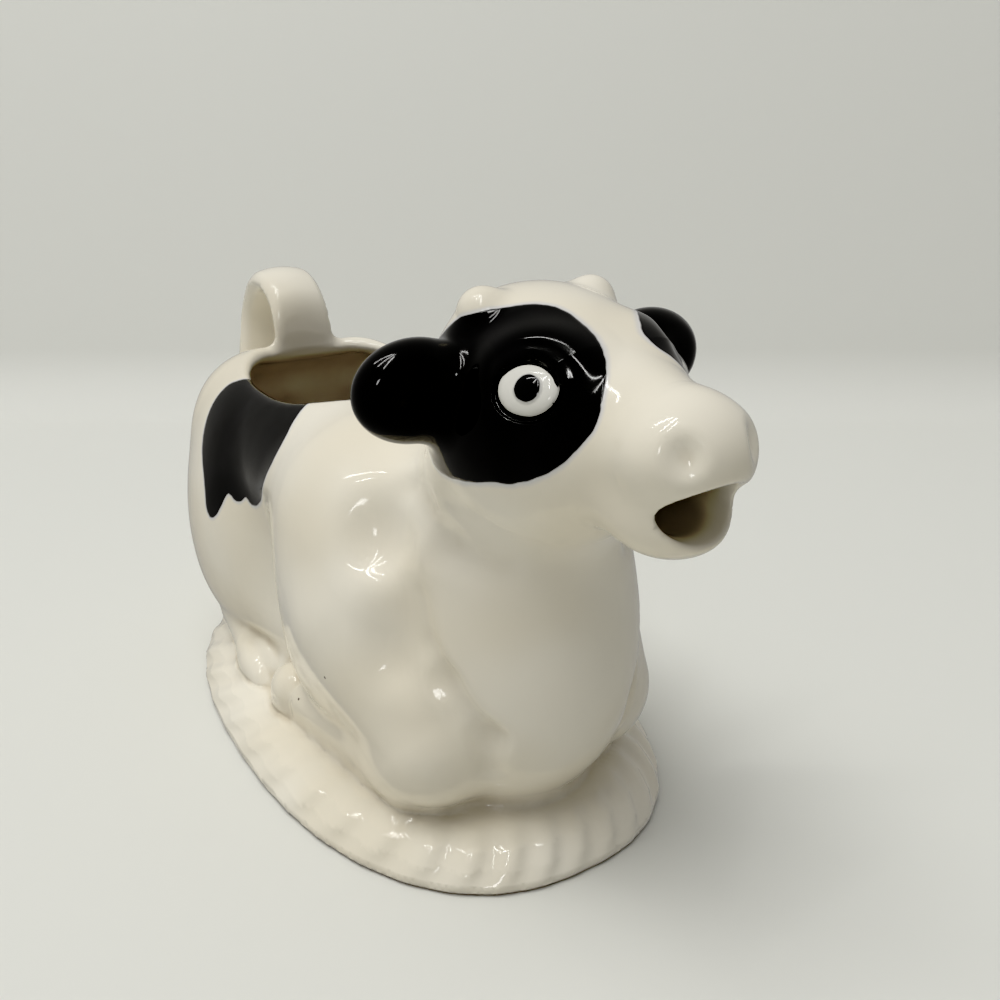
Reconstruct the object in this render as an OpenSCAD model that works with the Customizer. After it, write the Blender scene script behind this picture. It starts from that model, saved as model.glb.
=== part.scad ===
// Cow creamer: a cow lying on a fluted oval plinth, cast hollow in one glazed clay.
// The cow faces +X, its left side is +Y and +Z is up; the plinth stands on the table
// at z = 0. Every length is in millimetres.
// The animal is one smooth body of blended masses. Each mass is written in shares of the
// cow's length and heights are counted from the top of the plinth, so the three cow sizes
// stretch the whole figure. Rings of points are cast out from a spine to that blended
// surface, and the rings are lofted into the clay shells.

// which piece to build

/* [Cow] */
// rump to nose
cow_length = 166; // [120:1:240]
// across the haunches
cow_width = 75; // [55:1:110]
// top of the plinth to the horn tips
cow_height = 97; // [70:1:140]
// thickness of the cast clay wall
wall = 4; // [2.5:0.1:6]
// thickness of the floor of the hollow
floor_depth = 5; // [3:0.5:9]

/* [Plinth] */
// along X, at its widest
base_length = 140; // [100:1:200]
// along Y, at its widest
base_width = 85; // [60:1:120]
// table to the top of the plinth
base_height = 9; // [6:0.5:15]
// how deep each flute is cut
flute_depth = 0.9; // [0:0.1:2.5]
// how far the slope runs in from the edge
base_inset = 8.5; // [4:0.5:10]

/* [Filling mouth] */
// along X
fill_length = 54; // [40:1:70]
// along Y
fill_width = 41; // [30:1:55]
// radius of the rounded rim
fill_lip = 3; // [1:0.5:5]

/* [Spout] */
// across the open mouth
spout_width = 13.6; // [10:0.2:16]
// upper lip to lower lip
spout_height = 9.6; // [6:0.2:11]

/* [Handle] */
// radius of the loop to the middle of the strap
loop_radius = 12.5; // [9:0.5:20]
// width of the strap at the top of the loop
strap_width = 14; // [9:0.5:22]
// width of the strap where it joins the back
strap_root = 21; // [12:0.5:30]
// thickness of the strap
strap_depth = 5.6; // [3.5:0.1:9]

/* [Eye] */
// along the face
eye_length = 10; // [6:0.1:14]
// up the face
eye_height = 8; // [5:0.1:12]
// how far it stands out
eye_bulge = 1.6; // [0.8:0.1:3]

/* [Hidden] */
// how the cow was proportioned where the shares below were measured
width_share = 0.4518;
height_share = 0.5843;
stretch = [cow_length, cow_width / width_share, cow_height / height_share];
wall_share = wall / cow_length;
floor_share = floor_depth / stretch[2];

// kinds of mass
OVAL = 0;
LIMB = 1;
PILLOW = 2;

// An oval is [OVAL, blend, x, y, z, three radii, tilt]; a limb is [LIMB, blend, start,
// end, start radius, end radius]; a pillow is [PILLOW, blend, middle, three half sizes,
// rounding]. Blend is how softly it melts into the masses before it; below zero the mass is
// pressed into them as a hollow instead.
body_shares = [
    // barrel
    [PILLOW, 0, -0.114, 0, 0.196, 0.298, 0.184, 0.202, 0.12],
    // haunch
    [OVAL, 0.048, -0.223, 0.114, 0.169, 0.151, 0.105, 0.181, 0],
    // chest
    [OVAL, 0.072, 0.208, 0, 0.163, 0.208, 0.151, 0.211, 0],
    // neck
    [LIMB, 0.072, 0.229, 0, 0.247, 0.325, 0, 0.404, 0.139, 0.096],
    // shoulder
    [OVAL, 0.042, 0.133, 0.127, 0.223, 0.108, 0.075, 0.163, -12],
    // forearm down to the knee
    [LIMB, 0.036, 0.157, 0.142, 0.187, 0.28, 0.108, 0.045, 0.066, 0.06],
    // knee
    [OVAL, 0.024, 0.25, 0.12, 0.024, 0.058, 0.052, 0.052, 0],
    // hollow behind the upper arm
    [OVAL, -0.054, -0.024, 0.247, 0.145, 0.054, 0.078, 0.133, 0],
    // hollow behind the thigh
    [OVAL, -0.036, -0.398, 0.211, 0.127, 0.042, 0.072, 0.145, 0],
];
head_shares = [
    // skull
    [OVAL, 0.024, 0.337, 0, 0.455, 0.145, 0.123, 0.117, 0],
    // brow
    [OVAL, 0.036, 0.398, 0, 0.476, 0.12, 0.078, 0.069, 12],
    // bridge of the nose
    [LIMB, 0.036, 0.41, 0, 0.44, 0.524, 0, 0.461, 0.063, 0.048],
    // nose pad
    [OVAL, 0.024, 0.53, 0, 0.47, 0.057, 0.063, 0.042, 0],
    // lower jaw
    [OVAL, 0.024, 0.51, 0, 0.417, 0.065, 0.054, 0.044, 0],
];
foreleg_shares = [
    // shank folded back along the plinth
    [LIMB, 0, 0.253, 0.12, 0.027, 0.048, 0.167, 0.024, 0.039, 0.027],
    // hoof
    [OVAL, 0.007, 0.006, 0.172, 0.022, 0.041, 0.03, 0.034, 0],
];
hind_leg_shares = [
    // shank coming forward from under the haunch
    [LIMB, 0, -0.229, 0.16, 0.03, -0.145, 0.178, 0.023, 0.03, 0.028],
    // hoof
    [OVAL, 0.007, -0.099, 0.186, 0.018, 0.046, 0.031, 0.033, 0],
];
ear_shares = [
    // lobe
    [OVAL, 0, 0.313, 0.139, 0.494, 0.036, 0.063, 0.05, 0],
    // dish in its front
    [OVAL, -0.018, 0.358, 0.145, 0.497, 0.025, 0.046, 0.034, 0],
];
horn_shares = [
    // nub
    [LIMB, 0, 0.304, 0.063, 0.53, 0.316, 0.068, 0.566, 0.039, 0.019],
];
// how softly the head melts into the neck
head_blend_share = 0.024;

// Places on the spine, as [x, z]
rump_share = [-0.23, 0.2];
nape_share = [0.175, 0.416];
throat_share = [0.494, 0.328];
muzzle_share = [0.53, 0.444];
// distance from the nape and the throat to the spine: over the back, at the seam of the
// neck and under the brow
nape_reach_share = 0.217;
seam_reach_share = 0.15;
brow_reach_share = 0.12;
// slope of the seam between the neck and the head
seam_angle = 74.5;
// from the rump to beyond the chest, along the ground
chest_ray_share = 0.75;
back_count = 10;
chest_count = 6;
head_count = 8;
// cones of rays over the rump and the muzzle, from behind to ahead, and a ring square to
// the spine between them
rump_spread_angles = [176, 165, 152, 139, 126, 113, 101];
muzzle_spread_angles = [76, 62, 48, 35, 23, 11, 3];
square = 90;
// where the planes stand between the nape and the front edge of the chest
front_shares = [0.2, 0.4, 0.57, 0.72, 0.86, 1];
// longest ray, longer than any half width of the cow
ray_share = 0.6;

fill_share = [-0.145, 0.392];
spout_share = [0.47, 0.431];
// how far the spout points down
spout_angle = 4;
loop_share = [-0.4, 0.404];

// The cutter of the filling mouth, as [height, widening] in lip radii
fill_profile_shares = [[-6, 0], [-1.3, 0], [-0.7, 0.05], [-0.4, 0.17], [-0.15, 0.4], [0.08, 0.75],
    [0.25, 1.1], [1.2, 3.5]];
// The cutter of the spout, as [distance, size] in spout widths
spout_profile_shares = [[0, 0.92], [0.5, 0.96], [0.9, 1.02], [1.2, 1.1], [1.7, 1.25]];
// The skirt of the plinth from the table up, as [height, inset, flute]
skirt_shares = [[0, 0.1, 0.1], [0.09, 0.02, 0.5], [0.25, 0, 1], [0.5, 0.12, 1], [0.75, 0.34, 0.9],
    [0.93, 0.64, 0.45], [1, 1, 0]];
fill_power = 2.1;
base_power = 2.38;
flute_count = 38;
flute_facets = 4;
// turn of each flute from the table to the top
flute_lean_angle = 8;
// where the loop starts and ends, round from straight ahead, how much longer it hangs
// below its middle behind the rump, and its steps
loop_start_angle = -16;
loop_end_angle = 262;
loop_drop_share = 1.9;
strap_count = 22;
// how square the strap's section is
strap_power_share = 0.75;

// where the rays of each small lump start from
ear_root_share = [0.31, 0.139, 0.494];
horn_root_share = [0.311, 0.066, 0.55];
horn_lift_angle = 84;
eye_share = [0.42, 0.085, 0.513];
// direction an eye looks: round from straight ahead, then up
eye_turn_angle = 61;
eye_lift_angle = 31;
// The bead of an eye from its root out, as [distance in bulges, size]
bead_shares = [[-1.6, 1], [0.1, 1], [0.4, 0.95], [0.7, 0.8], [0.9, 0.55], [1, 0.25]];
hoof_spread_angles = [0, 18, 36, 54, 72, 90];
leg_count = 5;
// middle of the hoof, middle of the knee and direction of each leg, round from ahead
fore_hoof_share = [0, 0.172, 0.022];
fore_knee_share = [0.24, 0.118, 0.027];
foreleg_angle = 168;
hind_hoof_share = [-0.099, 0.186, 0.018];
hind_knee_share = [-0.229, 0.16, 0.03];
hind_leg_angle = 13;
// first and last station of the block of clay that each piece sits on
handle_seat = [0, 9];
foreleg_seat = [10, 25];
hind_leg_seat = [3, 13];
face_seat = [1, 7];

// cones of rays from the tip of a lump to its root
lump_spread_angles = [0, 15, 30, 47, 65, 85, 105, 125, 145, 165, 180];

// points round each ring, and steps that solve a ray through the air and along the ground
ring_count = 48;
foot_count = 10;
plain_foot_angle = 60;
half_turn = 180;
small_count = 20;
solve_count = 5;
ground_count = 14;
// diagonals this much alike count as equal
even = cow_length / 1000000;

// How the masses are measured: below zero is inside the clay.
function oval(p, m) =
    let (x = p[0] - m[2], z = p[2] - m[4],
        q = [x * cos(m[8]) - z * sin(m[8]), p[1] - m[3], x * sin(m[8]) + z * cos(m[8])],
        a = norm([q[0] / m[5], q[1] / m[6], q[2] / m[7]]),
        b = norm([q[0] / m[5] ^ 2, q[1] / m[6] ^ 2, q[2] / m[7] ^ 2]))
    b == 0 ? -min(m[5], m[6], m[7]) : a * (a - 1) / b;

function limb(p, m) =
    let (a = [m[2], m[3], m[4]], run = [m[5], m[6], m[7]] - a,
        t = min(1, max(0, (p - a) * run / (run * run))))
    norm(p - a - t * run) - m[8] - (m[9] - m[8]) * t;

function pillow(p, m) =
    let (q = [abs(p[0] - m[2]) - m[5] + m[8], abs(p[1] - m[3]) - m[6] + m[8],
            abs(p[2] - m[4]) - m[7] + m[8]])
    norm([max(q[0], 0), max(q[1], 0), max(q[2], 0)]) + min(max(q), 0) - m[8];

function mass(p, m) = m[0] == OVAL ? oval(p, m) : m[0] == LIMB ? limb(p, m) : pillow(p, m);

function melt(a, b, k) =
    k == 0 ? min(a, b) :
    let (h = max(k - abs(a - b), 0))
    min(a, b) - h * h / k / 4;

// A mass joined to the clay so far, or pressed into it where its blend is below zero
function joined(depth, d, blend) = blend < 0 ? -melt(-depth, d, -blend) : melt(depth, d, blend);

function melted(p, masses, i, depth) =
    i == len(masses) ? depth :
    melted(p, masses, i + 1, joined(depth, mass(p, masses[i]), masses[i][1]));

function clay(p, masses) = melted(p, masses, 1, mass(p, masses[0]));

// The body and the head together, the same on both sides
function cow(p) =
    let (q = [p[0], abs(p[1]), p[2]])
    melt(clay(q, body_shares), clay(q, head_shares), head_blend_share);

function piece(p, masses) = len(masses) == 0 ? cow(p) : clay(p, masses);

// Distance along a ray to the surface that lies level inside the clay
function reach(c, d, masses, level, near, near_f, far, far_f, n) =
    let (t = (near * far_f - far * near_f) / (far_f - near_f))
    n == 0 ? t :
    let (f = piece(c + t * d, masses) - level)
    f < 0 ? reach(c, d, masses, level, t, f, far, far_f / 2, n - 1) :
    reach(c, d, masses, level, near, near_f / 2, t, f, n - 1);

// Where the clay meets the ground on the left, measured out from a point on the ground
function foot(q, level) =
    let (f = piece(q, []) - level)
    f >= 0 ? 0 :
    reach(q, [0, 1, 0], [], level, 0, f, ray_share, piece(q + [0, ray_share, 0], []) - level,
        ground_count);

// Angle below level at which a ring's plane meets the ground at the edge of the clay, up to
// the angle of a plain ring, which rings that stop short of the ground keep
function foot_angle(c, tilt, spread, level, ground) =
    let (drop = (c[2] - ground) / cos(tilt), q = [c[0] + drop * sin(tilt), 0, ground],
        out = spread == square ? foot(q, level) : 0)
    out == 0 ? plain_foot_angle : min(plain_foot_angle, atan2(drop, out));

// Angles round a ring: foot_count of them under the clay, the rest over it, one at each edge
function ring_angles(low) =
    [for (i = [0:ring_count - 1])
        let (over = ring_count - foot_count)
        i <= over ? -low + (half_turn + 2 * low) * i / over :
            half_turn + low + (half_turn - 2 * low) * (i - over) / foot_count];

// One ring: rays from c in a plane tilted about Y, opened or closed into a cone. Rays that
// would pass below the ground stop on it.
function ring(c, tilt, spread, masses, level, ground) =
    let (along = [cos(tilt), 0, sin(tilt)], up = [-sin(tilt), 0, cos(tilt)],
        near_f = piece(c, masses) - level)
    [for (a = ring_angles(foot_angle(c, tilt, spread, level, ground)))
        let (d = cos(spread) * along + sin(spread) * (cos(a) * [0, 1, 0] + sin(a) * up),
            t = reach(c, d, masses, level, 0, near_f, ray_share,
                piece(c + ray_share * d, masses) - level, solve_count),
            stop = d[2] < 0 ? (ground - c[2]) / d[2] : t)
        c + min(t, stop) * d];

// Every other station, for the plain inside of the wall, always with the seam at the neck
function thinned(list, seam_first = false) =
    [for (i = [0:len(list) - 1])
        if ((seam_first ? i : len(list) - 1 - i) % 2 == 0 || i == 0 || i == len(list) - 1)
            list[i]];

function backwards(list) = [for (i = [len(list) - 1:-1:0]) list[i]];

function sized(p) = [p[0] * stretch[0], p[1] * stretch[1], base_height + p[2] * stretch[2]];

// Stations along the spine, as [middle, tilt, spread]. At the neck their planes fan out round
// the nape, and one of them passes through the front edge of the chest on the plinth.
function neck_station(t) =
    let (r = nape_reach_share + (seam_reach_share - nape_reach_share) * t / seam_angle)
    [[nape_share[0] + r * sin(t), 0, nape_share[1] - r * cos(t)], t, square];

function head_station(t) =
    let (r = seam_reach_share - (seam_reach_share - brow_reach_share) * (seam_angle - t) / seam_angle)
    [[throat_share[0] - r * sin(t), 0, throat_share[1] + r * cos(t)], t, square];

function chest_tilt() =
    let (q = [rump_share[0], 0, 0],
        x = q[0] + reach(q, [1, 0, 0], [], 0, 0, piece(q, []), chest_ray_share,
            piece(q + [chest_ray_share, 0, 0], []), ground_count))
    atan2(x - nape_share[0], nape_share[1]);

function body_stations() =
    let (front = chest_tilt())
    concat(
        [for (s = rump_spread_angles) [[rump_share[0], 0, rump_share[1]], 0, s]],
        [for (i = [0:back_count])
            [[rump_share[0] + (nape_share[0] - rump_share[0]) * i / back_count, 0,
                rump_share[1]], 0, square]],
        [for (s = front_shares) neck_station(front * s)],
        [for (i = [1:chest_count]) neck_station(front + (seam_angle - front) * i / chest_count)]);

function head_stations() = concat(
    [for (i = [0:head_count]) head_station(seam_angle * (1 - i / head_count))],
    [for (s = muzzle_spread_angles) [[muzzle_share[0], 0, muzzle_share[1]], 0, s]]);

// Closes a run of rings into one solid skin. Each facet pair is split along its shorter
// diagonal, so the facets are alike on the left and the right.
module loft(rings) {
    n = len(rings[0]);
    last = len(rings) - 1;
    function middle(r) = [for (i = [0:2]) let (v = [for (p = r) p[i]])
        (v * [for (p = r) 1]) / n];
    points = concat([for (r = rings) each r], [middle(rings[0]), middle(rings[last])]);
    faces = concat(
        [for (i = [0:last - 1]) for (j = [0:n - 1])
            let (a = i * n + j, b = i * n + (j + 1) % n, c = a + n, d = b + n,
                skew = norm(points[a] - points[d]) - norm(points[b] - points[c]),
                side = points[a][1] + points[b][1])
            each skew < -even || (skew < even && side > 0) ? [[a, c, d], [a, d, b]] :
                [[a, c, b], [b, c, d]]],
        [for (j = [0:n - 1]) [n * (last + 1), j, (j + 1) % n]],
        [for (j = [0:n - 1]) [n * (last + 1) + 1, last * n + (j + 1) % n, last * n + j]]);
    polyhedron(points, faces);
}

function cow_rings(stations, level, ground) =
    [for (s = stations)
        [for (p = ring(s[0], s[1], s[2], [], level, ground)) sized(p)]];

// The outside of the body or the head from the first to the last station of a seat, as a
// solid block for other pieces to sit on
module body_block(seat)
    loft(cow_rings([for (i = [seat[0]:seat[1]]) body_stations()[i]], 0, 0));

module head_block(seat)
    loft(cow_rings([for (i = [seat[0]:seat[1]]) head_stations()[i]], 0, 0));

// An oval of points at height z, squarer as the power grows
function oval_ring(length, width, z, power, count) =
    [for (i = [0:count - 1])
        let (c = cos(360 * i / count), s = sin(360 * i / count),
            r = (abs(c) ^ power + abs(s) ^ power) ^ (-1 / power))
        [r * c * length / 2, r * s * width / 2, z]];

function moved(ring, by) = [for (p = ring) p + by];

// The filling mouth flares at the top so that its rim comes out rounded
module fill_cutter() {
    top = sized([0, 0, fill_share[1]]);
    translate([fill_share[0] * stretch[0], 0, top[2]])
        loft([for (s = fill_profile_shares)
            oval_ring(fill_length + 2 * s[1] * fill_lip, fill_width + 2 * s[1] * fill_lip,
                s[0] * fill_lip, fill_power, 2 * small_count)]);
}

// The spout runs from the hollow of the head out between the lips
module spout_cutter() {
    start = sized([spout_share[0], 0, spout_share[1]]);
    translate(start)
        rotate([0, square + spout_angle, 0])
            loft([for (s = spout_profile_shares)
                oval_ring(spout_height * s[1], spout_width * s[1], s[0] * spout_width,
                    2, small_count)]);
}

// Body: haunches, barrel, shoulders, chest and neck, open at the back and at the throat
module body() color("ivory") difference() {
    loft(concat(cow_rings(body_stations(), 0, 0),
        backwards(cow_rings(thinned(body_stations()), -wall_share, floor_share))));
    fill_cutter();
}

// Head: poll, brow, cheeks, nose and lower jaw, open at the throat and between the lips
module head() color("ivory") difference() {
    loft(concat(backwards(cow_rings(thinned(head_stations(), true), -wall_share, floor_share)),
        cow_rings(head_stations(), 0, 0)));
    spout_cutter();
}

// Plinth: a fluted skirt drawn in at the foot
module base() color("ivory")
    loft([for (s = skirt_shares)
        [for (i = [0:flute_count * flute_facets - 1])
            let (a = 360 * i / flute_count / flute_facets,
                wave = (1 + cos(flute_count * (a - flute_lean_angle * s[0]))) / 2,
                inset = base_inset * s[1] + flute_depth * s[2] * wave,
                c = cos(a), q = sin(a),
                r = (abs(c) ^ base_power + abs(q) ^ base_power) ^ (-1 / base_power))
            [r * c * (base_length / 2 - inset), r * q * (base_width / 2 - inset),
                base_height * s[0]]]]);

// Handle: the tail, a strap carried up behind the filling mouth, back and down to the rump
module strap() {
    middle = sized([loop_share[0], 0, loop_share[1]]);
    loft([for (i = [0:strap_count])
        let (t = i / strap_count, a = loop_start_angle + (loop_end_angle - loop_start_angle) * t,
            drop = a > half_turn ? loop_drop_share : 1,
            out = [cos(a), 0, sin(a)] / norm([cos(a), sin(a)]),
            half = (strap_width + (strap_root - strap_width) * (2 * t - 1) ^ 2) / 2)
        [for (j = [0:small_count - 1])
            let (b = 360 * j / small_count, c = cos(b), q = sin(b))
            middle + [loop_radius * cos(a), 0, loop_radius * drop * sin(a)]
                + out * strap_depth / 2 * sign(c) * abs(c) ^ strap_power_share
                + [0, half * sign(q) * abs(q) ^ strap_power_share, 0]]]);
}

module handle() color("ivory") difference() {
    strap();
    body_block(handle_seat);
}

// A small lump of clay lofted round one axis, mirrored by side
function lump(masses, from, tilt, turn, spreads, ground) =
    [for (s = spreads)
        [for (p = lump_ring(from, tilt, turn, s, masses, ground)) sized(p)]];

function lump_ring(c, tilt, turn, spread, masses, ground) =
    let (along = [cos(tilt) * cos(turn), cos(tilt) * sin(turn), sin(tilt)],
        side = [-sin(turn), cos(turn), 0], up = cross(along, side),
        near_f = clay(c, masses))
    [for (i = [0:small_count - 1])
        let (a = 360 * i / small_count,
            d = cos(spread) * along + sin(spread) * (cos(a) * side + sin(a) * up),
            t = reach(c, d, masses, 0, 0, near_f, ray_share, clay(c + ray_share * d, masses),
                solve_count),
            stop = d[2] < 0 ? (ground - c[2]) / d[2] : t)
        c + min(t, stop) * d];

module ear_lobe()
    loft(backwards(lump(ear_shares, ear_root_share, 0, square, lump_spread_angles, 0)));

module left_ear() color("black") difference() {
    ear_lobe();
    head_block(face_seat);
}

module right_ear() color("black") mirror([0, 1, 0]) left_ear();

module left_horn() color("ivory") difference() {
    loft(backwards(lump(horn_shares, horn_root_share, horn_lift_angle, square,
        lump_spread_angles, 0)));
    head_block(face_seat);
    ear_lobe();
}

module right_horn() color("ivory") mirror([0, 1, 0]) left_horn();

// A raised oval bead set into the side of the face
module left_eye() color("white") difference() {
    translate(sized(eye_share))
        rotate([0, -eye_lift_angle, eye_turn_angle])
            rotate([0, square, 0])
                loft([for (s = bead_shares)
                    oval_ring(eye_height * s[1], eye_length * s[1], eye_bulge * s[0], 2,
                        small_count)]);
    head_block(face_seat);
}

module right_eye() color("white") mirror([0, 1, 0]) left_eye();

// A leg folded under the cow: hoof first, then the shank back into the body
module leg(masses, hoof, knee, turn, seat) difference() {
    loft(backwards(concat(
        lump(masses, hoof, 0, turn, hoof_spread_angles, 0),
        [for (i = [1:leg_count])
            lump(masses, hoof + (knee - hoof) * i / leg_count, 0, turn, [square], 0)[0]])));
    body_block(seat);
}

module left_foreleg() color("ivory")
    leg(foreleg_shares, fore_hoof_share, fore_knee_share, foreleg_angle, foreleg_seat);

module right_foreleg() color("ivory") mirror([0, 1, 0]) left_foreleg();

module left_hind_leg() color("ivory")
    leg(hind_leg_shares, hind_hoof_share, hind_knee_share, hind_leg_angle, hind_leg_seat);

module right_hind_leg() color("ivory") mirror([0, 1, 0]) left_hind_leg();

base();
body();
head();
handle();
left_ear();
right_ear();
left_horn();
right_horn();
left_eye();
right_eye();
left_foreleg();
right_foreleg();
left_hind_leg();
right_hind_leg();
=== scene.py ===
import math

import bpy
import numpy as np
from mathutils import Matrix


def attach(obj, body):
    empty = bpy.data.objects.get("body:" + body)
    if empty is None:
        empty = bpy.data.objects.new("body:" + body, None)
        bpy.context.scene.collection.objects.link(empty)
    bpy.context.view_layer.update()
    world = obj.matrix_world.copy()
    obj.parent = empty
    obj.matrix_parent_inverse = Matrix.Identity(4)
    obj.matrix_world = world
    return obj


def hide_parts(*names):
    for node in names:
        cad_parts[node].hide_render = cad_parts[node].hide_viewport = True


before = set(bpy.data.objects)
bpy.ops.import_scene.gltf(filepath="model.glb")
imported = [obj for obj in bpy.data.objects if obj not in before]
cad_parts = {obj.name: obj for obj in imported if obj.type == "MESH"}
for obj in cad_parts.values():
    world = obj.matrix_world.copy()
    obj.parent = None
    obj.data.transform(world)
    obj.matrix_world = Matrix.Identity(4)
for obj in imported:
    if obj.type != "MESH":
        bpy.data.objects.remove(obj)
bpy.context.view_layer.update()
# %% [markdown]
# # A cow creamer in glazed earthenware
# The real object is a small jug: slip-cast clay in the form of a resting cow on a fluted
# plinth, dipped in an ivory glaze, with black glaze brushed on in patches. The lines above
# load the measured solids, and each piece made here takes the place of one of them, which is
# hidden but kept.

# %% [markdown]
# ## Clay as blended masses
# A modeller builds such an animal from balls, ropes and slabs of clay and smooths the joins
# with a wet thumb. A subdivision cage could make it too, but then each join would have to be
# drawn by hand. Here each lump is a distance formula, and "melt" is the wet thumb: it adds a
# fillet where two lumps meet. Below zero is clay, above zero is air. All sizes are
# millimetres; x runs from rump to nose, y to the cow's left and z up.

# %% Distance to an oval ball, a tapered rope, a rounded slab and a bead laid in an arc
def turned(p, centre, tilt):
    """Points seen from a lump that is tipped nose-up by tilt degrees."""
    x, y, z = p[:, 0] - centre[0], p[:, 1] - centre[1], p[:, 2] - centre[2]
    c, s = math.cos(math.radians(tilt)), math.sin(math.radians(tilt))
    return x * c + z * s, y, z * c - x * s


def oval(p, centre, radii, tilt=0.0):
    """A ball drawn out to three radii."""
    x, y, z = turned(p, centre, tilt)
    a, b, c = radii
    k0 = np.sqrt((x / a) ** 2 + (y / b) ** 2 + (z / c) ** 2)
    k1 = np.sqrt((x / a**2) ** 2 + (y / b**2) ** 2 + (z / c**2) ** 2)
    return k0 * (k0 - 1) / np.maximum(k1, 1e-6)


def rope(p, start, end, r0, r1):
    """A roll of clay whose radius goes evenly from r0 to r1."""
    a, run = np.array(start, float), np.array(end, float) - np.array(start, float)
    t = np.clip(((p - a) @ run) / (run @ run), 0, 1)
    return np.linalg.norm(p - a - t[:, None] * run, axis=1) - r0 - (r1 - r0) * t


def slab(p, centre, half, rounding):
    """A block of the given half sizes with its edges rounded over."""
    q = np.abs(p - np.array(centre, float)) - np.array(half, float) + rounding
    outside = np.linalg.norm(np.maximum(q, 0), axis=1)
    return outside + np.minimum(q.max(1), 0) - rounding


def arc(p, axes, half, turn, r, bend):
    """A bead laid on the face along part of an oval ring round the eye."""
    a, b, w = ((p - axes[0]) @ axis for axis in axes[1:])
    ring = (np.hypot(a / half[0], b / half[1]) - 1) * min(half)
    where = np.degrees(np.arctan2(b / half[1], a / half[0]))
    fade = np.clip(np.abs((where - turn[0] + 180) % 360 - 180) - turn[1], 0, None) / 25
    return np.hypot(ring, w + bend * (a * a + b * b)) - r * (1 - fade)


# %% Joining and cutting clay with a soft edge
def melt(a, b, soft):
    h = np.maximum(soft - np.abs(a - b), 0)
    return np.minimum(a, b) - h * h / soft / 4


def carve(a, b, soft):
    """Clay a with the tool b pushed into it."""
    return -melt(-a, b, soft)


# %% [markdown]
# ## The animal
# The real cow was modelled once in clay, and a plaster mould was taken from it. The lists
# below are the modeller's plan. Each row gives a lump's softness where it melts into the
# ones before it, then its place and size. Only the left side is written down: the field is
# read at the absolute value of y, so the cow comes out the same on both sides, as it does
# from a two-part mould.

# %% Lumps of the body: barrel, haunch, chest, neck, shoulder, upper arm and knee
body_lumps = [
    (slab, 0, (-19, 0, 42.2), (49.5, 30.5, 34.2), 19),
    (oval, 8, (-37, 19, 37), (25, 17.5, 30)),
    (oval, 12, (34.5, 0, 36), (34.5, 26.8, 35)),
    (rope, 12, (38, 0, 50), (54, 0, 76), 23, 16),
    (oval, 14, (22, 21, 43), (18, 12, 24.5), 12),
    (rope, 6, (28, 22.5, 41), (46.8, 19.2, 23.2), 12, 10.4),
    (oval, 7, (44.5, 19.5, 16.8), (8.5, 6.5, 6)),
]

# %% Where the thumb pushes the clay in
# behind the upper arm, behind the thigh, twice before the shoulder, and then down the line
# where the arm lies against the chest
body_dents = [
    (oval, 9, (-4, 41, 33), (9, 13, 22)),
    (oval, 6, (-66, 35, 30), (7, 12, 24)),
    (oval, 8, (39.3, 24.7, 63.6), (5.5, 5, 7)),
    (oval, 8, (48.4, 27.2, 48.5), (4, 4, 8)),
    (rope, 4, (49.8, 23.6, 54), (52.4, 23.6, 46), 0.4, 1.0),
    (rope, 4, (52.4, 23.6, 46), (56.0, 21.9, 40.6), 1.0, 1.5),
    (rope, 4, (56.0, 21.9, 40.6), (61.8, 16.2, 30.3), 1.5, 1.6),
    (rope, 4, (61.8, 16.2, 30.3), (61.1, 15.0, 22.5), 1.6, 0.6),
]
# under the jaw, from the ear forward to the throat
jaw_dents = [
    (rope, 6, (39, 18.5, 70), (45.4, 20.2, 68), 0.1, 0.4),
    (rope, 6, (45.4, 20.2, 68), (52.2, 20, 64.6), 0.4, 0.4),
    (rope, 6, (52.2, 20, 64.6), (62.0, 14, 62), 0.4, 0.1),
]

# %% Lumps of the head: skull, poll, brow, muzzle, bridge, nose, nose tip and lower jaw
head_lumps = [
    (oval, 4, (56, 0, 84.5), (24, 20.5, 19.5)),
    (oval, 6, (52, 0, 96), (15, 13, 8.8)),
    (oval, 6, (66, 0, 88), (20, 13, 11.5), -12),
    (rope, 6, (66, 0, 85), (86, 0, 86.5), 13, 8.7),
    (rope, 6, (70, 0, 88.5), (87, 0, 88.8), 8, 5.8),
    (oval, 4, (88, 0, 87), (9.0, 9.7, 7)),
    (oval, 4, (89.4, 0, 88.4), (6.4, 9.0, 5.7)),
    (oval, 4, (84.6, 0, 78.2), (10.8, 8.9, 7.3)),
]

# %% Lumps that are joined on: ears, horns and folded legs
ear_lumps = [(oval, 4, (52, 23, 91), (6, 10.5, 8.3))]
horn_lumps = [(rope, 2.5, (50.2, 9.8, 96), (51.6, 10.5, 101.8), 6.8, 4.15)]
foreleg_lumps = [
    (rope, 3, (42, 20.3, 14.2), (8, 27.8, 13), 7.1, 4.4),
    (oval, 7, (39, 22.6, 17), (8, 5, 5.5)),
    (oval, 1.2, (1, 28.6, 12.6), (6.4, 5.2, 5.6)),
]
hind_leg_lumps = [
    (rope, 4, (-40, 25, 12), (-4, 25.5, 10.5), 5, 4),
    (rope, 2.5, (-38, 26.5, 14), (-24, 29.5, 12.4), 5, 4.2),
    (oval, 2.0, (-17.5, 29.0, 11.4), (7.2, 2.9, 4.4), -6),
    (oval, 1.8, (-17.5, 32.0, 10.3), (6.8, 2.8, 3.7), -6),
]


def heap(p, lumps, clay=None):
    """The lumps melted together, in order, onto the clay that is already there."""
    for shape, soft, *sizes in lumps:
        d = shape(p, *sizes)
        clay = d if clay is None else melt(clay, d, max(soft, 0.01))
    return clay


def dented(p, tools, clay):
    """The clay after each tool is pushed in, in order."""
    for shape, soft, *sizes in tools:
        clay = carve(clay, shape(p, *sizes), soft)
    return clay


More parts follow.
